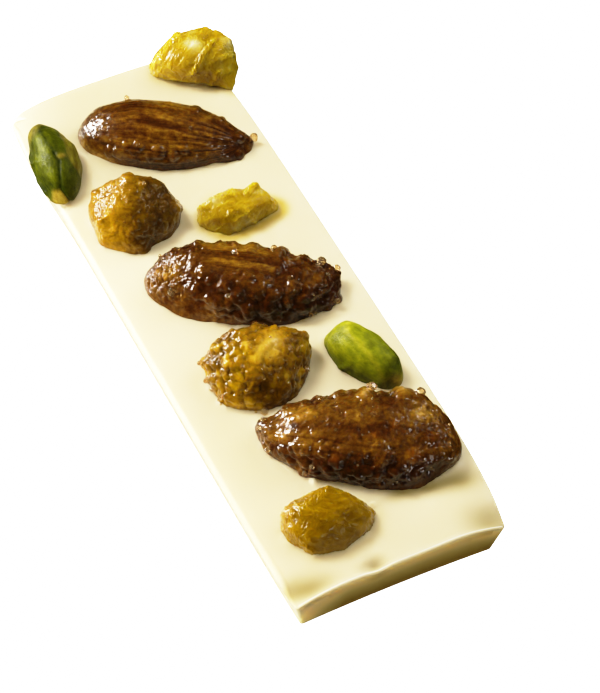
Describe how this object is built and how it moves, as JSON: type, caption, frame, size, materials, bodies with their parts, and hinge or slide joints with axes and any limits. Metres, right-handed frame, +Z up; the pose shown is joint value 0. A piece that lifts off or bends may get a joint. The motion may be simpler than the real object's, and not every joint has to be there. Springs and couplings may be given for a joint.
{
  "type": "white chocolate mendiant bar",
  "caption": "Flat cast white chocolate bar with caramelised almonds and hazelnuts, pistachio kernels and golden raisins set into its top.",
  "frame": {"origin": "Middle of the flat underside of the chocolate slab.", "axes": "+X runs along the bar towards its plain end, the end without a raisin on the corner. +Y runs across it towards the side whose corner carries a raisin. +Z is up, out of the decorated face."},
  "size_m": [0.0961, 0.0361, 0.0157],
  "materials": {
    "white_chocolate": "cast white chocolate, satin, slightly translucent",
    "caramelised_almond": "dark caramel glaze over brown skin, sugar crust in places",
    "caramelised_hazelnut": "amber caramel glaze with sugar grains",
    "pistachio_kernel": "shelled green kernel, satin",
    "golden_raisin": "wet translucent amber fruit"
  },
  "bodies": {
    "root": {"slab": "white_chocolate", "almond_1": "caramelised_almond", "almond_2": "caramelised_almond", "almond_3": "caramelised_almond", "hazelnut_1": "caramelised_hazelnut", "hazelnut_2": "caramelised_hazelnut", "pistachio_1": "pistachio_kernel", "pistachio_2": "pistachio_kernel", "raisin_1": "golden_raisin", "raisin_2": "golden_raisin", "raisin_3": "golden_raisin"}
  },
  "joints": []
}
